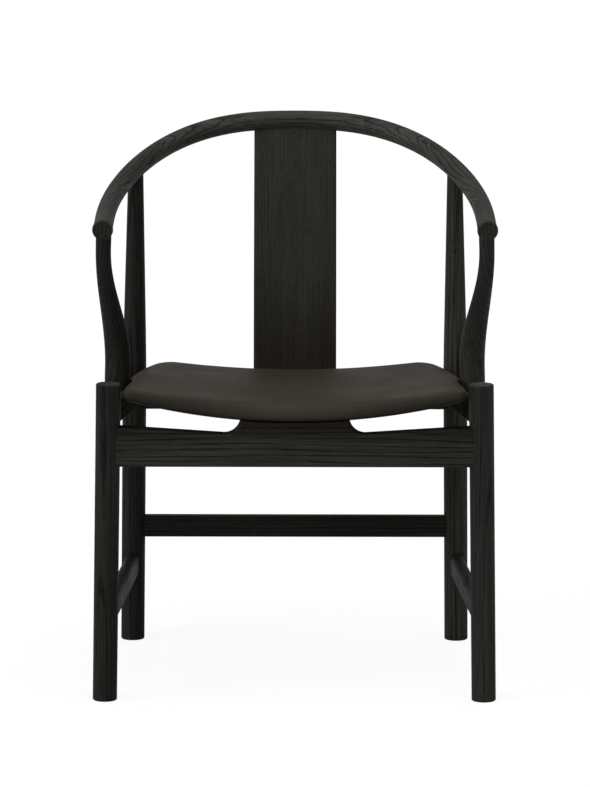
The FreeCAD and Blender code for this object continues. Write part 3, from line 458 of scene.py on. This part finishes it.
hiddenFinish = {
    "beech": (0.43, 0.28, 0.165, 1),
    "beechLate": (0.33, 0.2, 0.11, 1),
    "beechFleck": (0.25, 0.14, 0.07, 1),
    "beechGrain": {"Pith": (0.1, 0.4, 0), "Ring Width": 0.0026, "Drift": 0.008, "Early Share": 0.5},
    "fleckCounts": (900, 900, 140),
    "fleckRange": (0.6, 0.7, 0.0, 0.5),
    "beechRough": (0.55, 0.72),
    "ply": (0.5, 0.35, 0.2, 1),
    "plyCross": (0.3, 0.18, 0.09, 1),
    "plyCount": 210.0,
    "plyFibres": (30, 1400, 30),
    "plyTones": (0.8, 1.15),
    "plyRough": (0.5, 0.7),
    "rawRelief": 0.0001,
    "steel": (0.56, 0.56, 0.57, 1),
    "steelDull": (0.38, 0.38, 0.4, 1),
    "steelRough": (0.25, 0.5),
    "steelMarkSize": 120.0,
    "usualRange": (0.2, 0.8),       # of a noise, from its low to its high marks
}


def makeBeech(look):
    material, tree, shader = newMaterial("rawBeech")
    place = objectPlace(tree)
    grain = useGroup(tree, grainGroup, {"Vector": place, **look["beechGrain"]})
    flecks = noiseValue(tree, stretched(tree, place, look["fleckCounts"]), detail=1.0)
    flecks = eased(tree, flecks, *look["fleckRange"])
    tone = mixColour(tree, grain["Early Wood"], look["beech"], look["beechLate"])
    feed(tree, shader, "Base Color", mixColour(tree, flecks, tone, look["beechFleck"]))
    rough = eased(tree, grain["Fibres"], *look["usualRange"], *look["beechRough"])
    feed(tree, shader, "Roughness", rough)
    feed(tree, shader, "Normal", bumpNormal(tree, grain["Fibres"], look["rawRelief"], 0.5))
    return material


def makePlywood(look):
    material, tree, shader = newMaterial("bentPlywood")
    place = objectPlace(tree)
    waves = {"Vector": place, "Scale": look["plyCount"], "Distortion": 0.4}
    plies = addNode(tree, "ShaderNodeTexWave", waves, bands_direction="Z").outputs["Fac"]
    fibres = noiseValue(tree, stretched(tree, place, look["plyFibres"]), detail=3.0)
    tone = mixColour(tree, eased(tree, plies, 0.45, 0.55), look["ply"], look["plyCross"])
    shade = eased(tree, fibres, *look["usualRange"], *look["plyTones"])
    feed(tree, shader, "Base Color", mixColour(tree, 1.0, tone, shade, "MULTIPLY"))
    feed(tree, shader, "Roughness", eased(tree, fibres, *look["usualRange"], *look["plyRough"]))
    feed(tree, shader, "Normal", bumpNormal(tree, fibres, look["rawRelief"], 0.5))
    return material


def makeSteel(look):
    material, tree, shader = newMaterial("zincSteel")
    marks = useGroup(tree, handlingGroup, {"Vector": objectPlace(tree), "Size": look["steelMarkSize"]})
    feed(tree, shader, "Base Color", mixColour(tree, marks["Clouds"], look["steel"], look["steelDull"]))
    rough = eased(tree, marks["Clouds"], *look["usualRange"], *look["steelRough"])
    feed(tree, shader, "Roughness", rough)
    shader.inputs["Metallic"].default_value = 1.0
    return material


beech = makeBeech(hiddenFinish)
steel = makeSteel(hiddenFinish)
for piece in ("rear_corner_block_left", "rear_corner_block_right", "pegs"):
    coat(nodes[piece], beech)
for piece in ("seat_screws", "corner_block_screws"):
    coat(nodes[piece], steel)
coat(nodes["seat_shell"], makePlywood(hiddenFinish))
print("hidden pieces finished")


# leather seat: a hide pulled over the dished foam and turned under at the edges

seatShape = {
    # plan of the right half: across, behind the front legs, rounding of the corner
    "plan": [
        (0.2383, -0.014, 0.012), (0.2291, 0.16, 0.02), (0.2291, 0.179, 0.0035),
        (0.2476, 0.179, 0.003), (0.2362, 0.3478, 0.003), (0.2208, 0.3478, 0.003),
        (0.2122, 0.3688, 0.006), (0.2122, 0.382, 0.004),
    ],
    "legDepth": 0.386,
    "halfWidth": (0.2596, 0.2336),      # pairs are at the front and at the rear legs
    "railInside": (0.2406, 0.2146),
    "centreUnder": (0.3928, 0.373),
    "railUnder": (0.4243, 0.3843),
    "centreThickness": 0.0262,
    "edgeThickness": (0.0175, 0.029),
    "edgeRoll": (0.018, 0.068),
    "noseLevel": 0.42,                  # share of the thickness below the foremost line
    "noseRuns": (0.0145, 0.0095),       # how far the rounding runs in above and below it
    "noseFullness": (2.1, 2.6),
    "noseLimit": 0.7,                   # of the thickness
    "tightZone": (0.13, 0.16, 0.35, 0.366),     # by the posts and rear legs the edge turns tightly
    "tightShare": 0.25,
    "leastThickness": 0.0008,
    "rings": (0, 0.00012, 0.0005, 0.0012, 0.0023, 0.0038, 0.0056, 0.0078, 0.0104, 0.0135, 0.0156,
              0.0161, 0.02),
    "turnUnder": 0.0158,
    "hide": 0.0016,
    "step": 0.003,
    "fill": 0.007,
    "gridHalf": 0.25,                   # the inner grid, before it is trimmed to the plan
    "gridDepth": 0.4,
    "gridStart": -0.01,
    "unevenness": 0.0005,
    "evenEdge": 0.02,                   # the ripples fade out towards the edge
    "ripples": ((9, 3, 1), (31, 7, 0.4)),       # count, layer of the noise, share
}

planRounding = {
    "turn": 9,                          # degrees for each piece of a rounded corner
    "least": 3,
    "ringKept": 0.94,                   # of its inset, where a ring closes up in a narrow place
    "insetKept": 0.985,
}


def along(pair, setback):
    return pair[0] + (pair[1] - pair[0]) * setback / seatShape["legDepth"]


def arcRise(x, half, depth):
    radius = (half * half + depth * depth) / (2 * depth)
    return radius - math.sqrt(radius * radius - x * x)


def seatUnder(x, setback):
    inside = along(seatShape["railInside"], setback)
    centre = along(seatShape["centreUnder"], setback)
    return centre + arcRise(min(abs(x), inside), inside, along(seatShape["railUnder"], setback) - centre)


def seatTop(x, setback):
    x = abs(x)
    half = along(seatShape["halfWidth"], setback)
    edgeX = half - along(seatShape["edgeRoll"], setback)
    edge = seatUnder(edgeX, setback) + along(seatShape["edgeThickness"], setback)
    centre = seatUnder(0, setback) + seatShape["centreThickness"]
    if x <= edgeX:
        return centre + arcRise(x, edgeX, edge - centre)
    foot = Vector((half, seatUnder(half, setback)))
    chord = Vector((edgeX, edge)) - foot
    topSlope = 2 * math.atan((edge - centre) / edgeX)     # the roll leaves the top in line with it
    bulge = chord.length * math.tan((math.atan2(chord.y, -chord.x) + topSlope) / 2) / 2
    radius = (chord.length_squared / 4 + bulge * bulge) / (2 * bulge)
    outward = Vector((chord.y, -chord.x)).normalized()
    middle = foot + chord / 2 + outward * (bulge - radius)
    return middle.y + math.sqrt(max(0, radius * radius - (x - middle.x) ** 2))


def roundedPlan(corners, step):
    # closed plan with its corners rounded, as points and the normals that face inward
    line = []
    count = len(corners)
    for index, (x, y, rounding) in enumerate(corners):
        corner = Vector((x, y))
        before = (Vector(corners[index - 1][:2]) - corner).normalized()
        after = (Vector(corners[(index + 1) % count][:2]) - corner).normalized()
        opening = before.angle(after)
        back = rounding / math.tan(opening / 2)
        start, end = corner + before * back, corner + after * back
        middle = corner + (before + after).normalized() * rounding / math.sin(opening / 2)
        turns = round((math.pi - opening) / math.radians(planRounding["turn"]))
        turns = max(planRounding["least"], turns)
        side = (start - middle).angle_signed(end - middle)
        for turn in range(turns + 1):
            spoke = start - middle
            angle = -side * turn / turns
            line.append(middle + Vector((
                spoke.x * math.cos(angle) - spoke.y * math.sin(angle),
                spoke.x * math.sin(angle) + spoke.y * math.cos(angle),
            )))
    dense = []
    for index, point in enumerate(line):
        following = line[(index + 1) % len(line)]
        pieces = max(1, round((following - point).length / step))
        dense += [point.lerp(following, piece / pieces) for piece in range(pieces)]
    normals = []
    for index, point in enumerate(dense):
        run = dense[(index + 1) % len(dense)] - dense[index - 1]
        normals.append(Vector((-run.y, run.x)).normalized())
    return dense, normals


def wholePlan(shape):
    right = shape["plan"]
    return right + [(-x, y, rounding) for x, y, rounding in right[::-1]]


def lineTree(line):
    tree = kdtree.KDTree(len(line))
    for index, point in enumerate(line):
        tree.insert((*point, 0), index)
    tree.balance()
    return tree


def inwardOf(spot, index, line, normals):
    return (spot - line[index]).dot(normals[index]) > 0


def seatPoints(shape):
    # plan points with their distance to the edge: rings along it and a grid inside
    line, normals = roundedPlan(wholePlan(shape), shape["step"])
    tree = lineTree(line)
    points = [(point, 0) for point in line]
    for ring in shape["rings"][1:]:
        for point, normal in zip(line, normals):
            spot = point + normal * ring
            if tree.find((*spot, 0))[2] > ring * planRounding["ringKept"]:
                points.append((spot, ring))
    fill = shape["fill"]
    inner = shape["rings"][-1] + fill * 0.5
    columns = round(shape["gridHalf"] / fill)
    for column in range(-columns, columns + 1):
        shift = shape["gridStart"] + (column % 2) * fill / 2
        for row in range(round(shape["gridDepth"] / fill) + 1):
            spot = Vector((column * fill, row * fill + shift))
            near, index, reach = tree.find((*spot, 0))
            if inwardOf(spot, index, line, normals) and reach > inner:
                points.append((spot, reach))
    return points, len(line)


def noseShare(distance, radius, fullness):
    if distance >= radius:
        return 1
    return (1 - (1 - distance / radius) ** fullness) ** (1 / fullness)


def noseTurn(setback, shape):
    start, full, fullEnd, end = shape["tightZone"]
    zone = max(0, min(1, (setback - start) / (full - start), (end - setback) / (end - fullEnd)))
    return 1 - (1 - shape["tightShare"]) * zone


def seatLevels(x, setback, reach, shape):
    # heights of the upper and lower leather at a spot that lies so far from the edge
    top, under = seatTop(x, setback), seatUnder(x, setback)
    thickness = max(shape["leastThickness"], top - under)
    level = under + thickness * shape["noseLevel"]
    turn = noseTurn(setback, shape)
    runs = [min(run * turn, thickness * shape["noseLimit"]) for run in shape["noseRuns"]]
    rise, drop = (noseShare(reach, run, full) for run, full in zip(runs, shape["noseFullness"]))
    inner = 0 if reach < shape["turnUnder"] else shape["hide"]
    ripple = sum(
        share * noise.noise((x * count, setback * count, layer))
        for count, layer, share in shape["ripples"]
    )
    crest = ripple * shape["unevenness"] * min(1, reach / shape["evenEdge"])
    upper = level + (under + thickness - level) * rise + crest
    return upper, level - (level - under) * drop + inner


def meshPiece(name, mesh, smooth):
    for face in mesh.faces:
        face.smooth = smooth
    data = bpy.data.meshes.new(name)
    mesh.to_mesh(data)
    mesh.free()
    piece = bpy.data.objects.new(name, data)
    bpy.context.scene.collection.objects.link(piece)
    return piece


def makeSeat(shape):
    points, edgeCount = seatPoints(shape)
    edges = [(index, (index + 1) % edgeCount) for index in range(edgeCount)]
    plan = delaunay_2d_cdt([point for point, reach in points], edges, [], 1, 1e-6)
    spots, faces, origins = plan[0], plan[2], plan[3]
    mesh = bmesh.new()
    upper, lower = [], []
    for spot, origin in zip(spots, origins):
        reach = points[origin[0]][1] if origin else shape["fill"]
        x, setback = spot
        high, low = seatLevels(x, setback, reach, shape)
        upper.append(Vector((x, frontLegY + setback, high)))
        lower.append(Vector((x, frontLegY + setback, low)))
    topVertices = [mesh.verts.new(point) for point in upper]
    edgeSpots = {index for index, origin in enumerate(origins) if origin and min(origin) < edgeCount}
    lowVertices = [
        topVertices[index] if index in edgeSpots else mesh.verts.new(point)
        for index, point in enumerate(lower)
    ]
    for face in faces:
        mesh.faces.new([topVertices[index] for index in face])
        mesh.faces.new([lowVertices[index] for index in face[::-1]])
    bmesh.ops.recalc_face_normals(mesh, faces=mesh.faces)
    seat = meshPiece("seatLeather", mesh, True)
    print("seat shaped:", len(seat.data.vertices), "vertices")
    return seat


leatherFinish = {
    "hide": (0.0283, 0.0236, 0.0165, 1),
    "worn": (0.0342, 0.0288, 0.0201, 1),
    "wornRange": (0.35, 0.68),
    "cloudSize": 11.0,
    "downFacingShade": 0.5,          # painted shade on the side that faces down
    "downFacingRange": (-0.7, 0.2),
    "noseCornerShade": 0.45,          # painted shade on the front face towards its corners
    "noseSpread": (0.03, 0.2),
    "noseFacing": (-0.85, -0.35),
    "crease": (0.013, 0.0115, 0.009, 1),
    "creaseShare": 0.7,
    "creaseRough": 0.22,
    "pebbleCount": 820.0,
    "roughness": 0.5,
    "polish": (0.3, 0.7, 0.04, -0.05),
    "specular": 0.1,
    "dentHeight": 3.0,         # against the pebbles
    "stretchHeight": 0.8,
    "relief": 0.00022,
    "reliefStrength": 0.6,
}


def makeLeather(look):
    material, tree, shader = newMaterial("blackLeather")
    coordinates = addNode(tree, "ShaderNodeTexCoord").outputs
    place = coordinates["Object"]
    hide = useGroup(tree, hideGroup, {"Vector": place, "Pebble Count": look["pebbleCount"]})
    clouds = useGroup(tree, handlingGroup, {"Vector": place, "Size": look["cloudSize"]})["Clouds"]
    tone = mixColour(tree, eased(tree, clouds, *look["wornRange"]), look["hide"], look["worn"])

    facing = parted(tree, coordinates["Normal"])
    # painted shade: darker where the leather faces down
    under = eased(tree, facing["Z"], *look["downFacingRange"], look["downFacingShade"], 1.0)
    tone = mixColour(tree, 1.0, tone, under, "MULTIPLY")
    # painted shade on the front face of the nose, towards its corners
    across = eased(tree, maths(tree, "ABSOLUTE", parted(tree, place)["X"]), *look["noseSpread"])
    ahead = eased(tree, facing["Y"], *look["noseFacing"], 1.0, 0.0)
    corner = maths(tree, "MULTIPLY", across, ahead)
    cornerShadeTone = maths(tree, "MULTIPLY_ADD", corner, look["noseCornerShade"] - 1, 1.0)
    tone = mixColour(tree, 1.0, tone, cornerShadeTone, "MULTIPLY")

    creases = maths(tree, "MULTIPLY", hide["Creases"], look["creaseShare"])
    feed(tree, shader, "Base Color", mixColour(tree, creases, tone, look["crease"]))
    rough = maths(tree, "MULTIPLY_ADD", hide["Creases"], look["creaseRough"], look["roughness"])
    polish = eased(tree, clouds, *look["polish"])
    feed(tree, shader, "Roughness", maths(tree, "ADD", rough, polish))
    shader.inputs["Specular IOR Level"].default_value = look["specular"]
    height = maths(tree, "MULTIPLY_ADD", hide["Dents"], look["dentHeight"], hide["Pebbles"])
    height = maths(tree, "MULTIPLY_ADD", hide["Stretch"], look["stretchHeight"], height)
    feed(tree, shader, "Normal", bumpNormal(tree, height, look["relief"], look["reliefStrength"]))
    return material


seat = makeSeat(seatShape)
coat(seat, makeLeather(leatherFinish))
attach(seat, "root")
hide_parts("seat_cover", "seat_foam")
print("seat covered")


# lining: a cloth stretched and stapled over the opening below

liningShape = {
    "inset": 0.0162,
    "gap": 0.0004,          # above the face of the turned leather
    "cell": 0.008,
    "fromEdge": 0.6,        # cells left free along the edge
    "gridHalf": 0.24,
    "gridDepth": 0.4,
    "edgeStep": 0.004,
    "hemWidth": 0.0009,
    "hemLift": 0.0007,
    "weave": 0.00012,       # slight unevenness of the cloth
    "weaveCount": 40,
    "stapleInset": 0.0245,
    "stapleSpacing": 0.036,
    "stapleCrown": 0.0095,
    "stapleWire": 0.0009,
    "stapleLeg": 0.003,
    "stapleStep": 0.002,
    "stapleSlant": 24,      # degrees
    "slantDrift": 3.7,
}


def insetPlan(shape, inset, step):
    line, normals = roundedPlan(wholePlan(shape), step)
    tree = lineTree(line)
    kept = []
    for point, normal in zip(line, normals):
        spot = point + normal * inset
        if tree.find((*spot, 0))[2] > inset * planRounding["insetKept"]:
            kept.append((spot, normal))
    return kept


def makeLining(shape, setup):
    ring, normals = zip(*insetPlan(shape, setup["inset"], setup["edgeStep"]))
    hem = [spot + normal * setup["hemWidth"] for spot, normal in zip(ring, normals)]
    tree = lineTree(ring)
    grid, cell = [], setup["cell"]
    columns = round(setup["gridHalf"] / cell)
    for column in range(-columns, columns + 1):
        for row in range(round(setup["gridDepth"] / cell)):
            spot = Vector((column * cell, row * cell))
            near, index, reach = tree.find((*spot, 0))
            if reach > cell * setup["fromEdge"] and inwardOf(spot, index, ring, normals):
                grid.append(spot)
    edges = [(index, (index + 1) % len(ring)) for index in range(len(ring))]
    plan = delaunay_2d_cdt([*ring, *hem, *grid], edges, [], 1, 1e-6)
    mesh = bmesh.new()
    vertices = []
    for spot, origin in zip(plan[0], plan[3]):
        onHem = bool(origin) and min(origin) < len(ring)
        lift = setup["gap"] + (setup["hemLift"] if onHem else 0)
        count = setup["weaveCount"]
        weave = setup["weave"] * noise.noise((spot.x * count, spot.y * count, 1))
        height = seatUnder(spot.x, spot.y) + lift + weave
        vertices.append(mesh.verts.new((spot.x, frontLegY + spot.y, height)))
    for face in plan[2]:
        mesh.faces.new([vertices[index] for index in face[::-1]])
    flatArea = sum(face.calc_area() for face in mesh.faces)
    width = max(spot.x for spot in ring) - min(spot.x for spot in ring)
    length = max(spot.y for spot in ring) - min(spot.y for spot in ring)
    return meshPiece("seatLining", mesh, True), width, length, flatArea


def addWire(mesh, points, across, width):
    # square wire along the points, flat on the side that faces across
    rings = []
    for index, point in enumerate(points):
        run = (points[min(index + 1, len(points) - 1)] - points[max(index - 1, 0)]).normalized()
        side = run.cross(across).normalized()
        offsets = [side + across, side - across, -side - across, -side + across]
        rings.append([mesh.verts.new(point + offset * width / 2) for offset in offsets])
    for ring, following in zip(rings, rings[1:]):
        for corner in range(4):
            beside = (corner + 1) % 4
            mesh.faces.new((ring[corner], ring[beside], following[beside], following[corner]))
    mesh.faces.new(rings[0][::-1])
    mesh.faces.new(rings[-1])


def stapleLine(spot, normal, count, setup):
    # a staple's wire, from one leg's tip to the other's, and the way across its crown
    turn = setup["stapleSlant"] * noise.noise((count * setup["slantDrift"], 0, 0))
    slant = Matrix.Rotation(math.radians(turn), 2)
    run = slant @ Vector((normal.y, -normal.x))
    ends = [spot + run * setup["stapleCrown"] * side / 2 for side in (-1, 1)]
    drop = setup["gap"] - setup["stapleWire"]
    low = [Vector((end.x, frontLegY + end.y, seatUnder(*end) + drop)) for end in ends]
    leg = Vector((0, 0, setup["stapleLeg"]))
    return [low[0] + leg, *low, low[1] + leg], Vector((*(slant @ normal), 0))


def makeStaples(shape, setup):
    # wire staples through the hem of the cloth, each with its legs in the shell
    mesh = bmesh.new()
    edge = insetPlan(shape, setup["stapleInset"], setup["stapleStep"])
    travelled, previous, count = 0, edge[0][0], 0
    for spot, normal in edge:
        travelled += (spot - previous).length
        previous = spot
        if travelled < setup["stapleSpacing"]:
            continue
        travelled = 0
        count += 1
        line, across = stapleLine(spot, normal, count, setup)
        addWire(mesh, line, across, setup["stapleWire"])
    bmesh.ops.recalc_face_normals(mesh, faces=mesh.faces)
    print("staples set:", count)
    return meshPiece("liningStaples", mesh, False)


clothFinish = {
    "thread": (0.013, 0.013, 0.014, 1),
    "between": (0.004, 0.004, 0.0045, 1),
    "weaveScale": 190.0,
    "fuzzScale": 1500.0,
    "roughness": (0.85, 0.97),
    "relief": 0.0002,
}


def makeCloth(look):
    material, tree, shader = newMaterial("liningCloth")
    place = objectPlace(tree)
    waves = {"Vector": place, "Scale": look["weaveScale"], "Distortion": 0.3}
    warp = addNode(tree, "ShaderNodeTexWave", waves, bands_direction="X")
    weft = addNode(tree, "ShaderNodeTexWave", waves, bands_direction="Y")
    weave = maths(tree, "MULTIPLY", warp.outputs["Fac"], weft.outputs["Fac"])
    fuzz = noiseValue(tree, place, look["fuzzScale"], 2.0)
    raised = maths(tree, "MULTIPLY", weave, fuzz)
    feed(tree, shader, "Base Color", mixColour(tree, raised, look["between"], look["thread"]))
    feed(tree, shader, "Roughness", eased(tree, fuzz, 0.2, 0.8, *look["roughness"]))
    feed(tree, shader, "Normal", bumpNormal(tree, weave, look["relief"], 0.6))
    return material


lining, liningWidth, liningLength, liningArea = makeLining(seatShape, liningShape)
staples = makeStaples(seatShape, liningShape)
coat(lining, makeCloth(clothFinish))
coat(staples, steel)
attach(lining, "root")
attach(staples, "root")
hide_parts("seat_lining")
print("lining stretched")


# studio: a white floor that keeps a soft shadow, and broad soft lamps

studio = {
    "floorRadius": 60,
    "floorTone": 0.55,      # for the light that the floor throws back on the chair
    "litTone": 0.9,
    "shadowShare": 0.1,     # of the floor's white that shadows can darken
    "worldStrength": 0.36,
    "suns": {
        # name: direction that it comes from, strength, softness in degrees
        "top": ((0.1, -0.25, 1), 1.5, 50),
        "left": ((-1, -0.6, 0.55), 2.1, 35),
        "right": ((1, -1.2, 0.5), 0.3, 50),
        "rear": ((0.3, 1, 0.35), 1.2, 60),
    },
}


def whiteForCamera(tree, plain, white):
    # the camera sees white, while the pieces are lit by the plain shader
    fromCamera = addNode(tree, "ShaderNodeLightPath").outputs["Is Camera Ray"]
    return addNode(tree, "ShaderNodeMixShader", {0: fromCamera, 1: plain, 2: white}).outputs[0]


def greyDiffuse(tree, tone):
    return addNode(tree, "ShaderNodeBsdfDiffuse", {"Color": (tone, tone, tone, 1)}).outputs[0]


def makeFloor(setup):
    radius = setup["floorRadius"]
    bpy.ops.mesh.primitive_circle_add(vertices=96, radius=radius, fill_type="NGON")
    floor = bpy.context.object
    floor.name = "studioFloor"
    material = bpy.data.materials.new("studioFloor")
    material.use_nodes = True
    tree = material.node_tree
    tree.nodes.clear()
    glow = addNode(tree, "ShaderNodeEmission", {"Color": (1, 1, 1, 1), "Strength": 1.0}).outputs[0]
    lit = greyDiffuse(tree, setup["litTone"])
    whiteMix = {0: setup["shadowShare"], 1: glow, 2: lit}
    white = addNode(tree, "ShaderNodeMixShader", whiteMix).outputs[0]
    chosen = whiteForCamera(tree, greyDiffuse(tree, setup["floorTone"]), white)
    # clear from below, so that the underside of the chair can be looked at
    fromBelow = addNode(tree, "ShaderNodeNewGeometry").outputs["Backfacing"]
    clear = addNode(tree, "ShaderNodeBsdfTransparent").outputs[0]
    oneSided = addNode(tree, "ShaderNodeMixShader", {0: fromBelow, 1: chosen, 2: clear}).outputs[0]
    output = addNode(tree, "ShaderNodeOutputMaterial")
    tree.links.new(oneSided, output.inputs["Surface"])
    coat(floor, material)


def makeWorld(setup):
    world = bpy.data.worlds.new("studioWorld")
    world.use_nodes = True
    tree = world.node_tree
    tree.nodes.clear()
    plain, white = (
        addNode(tree, "ShaderNodeBackground", {"Color": (1, 1, 1, 1), "Strength": strength}).outputs[0]
        for strength in (setup["worldStrength"], 1.0)
    )
    output = addNode(tree, "ShaderNodeOutputWorld")
    tree.links.new(whiteForCamera(tree, plain, white), output.inputs["Surface"])
    bpy.context.scene.world = world


def makeLamps(setup):
    for name, (source, strength, softness) in setup["suns"].items():
        light = bpy.data.lights.new(f"{name}Lamp", "SUN")
        light.energy = strength
        light.angle = math.radians(softness)
        lamp = bpy.data.objects.new(f"{name}Lamp", light)
        lamp.location = Vector(source) * 3
        lamp.rotation_euler = Vector(source).to_track_quat("Z", "Y").to_euler()
        lamp.visible_glossy = name != "rear"     # that one lifts the shade, without shine
        bpy.context.scene.collection.objects.link(lamp)


makeFloor(studio)
makeWorld(studio)
makeLamps(studio)
bpy.context.scene.view_settings.view_transform = "Standard"
print("studio lit")
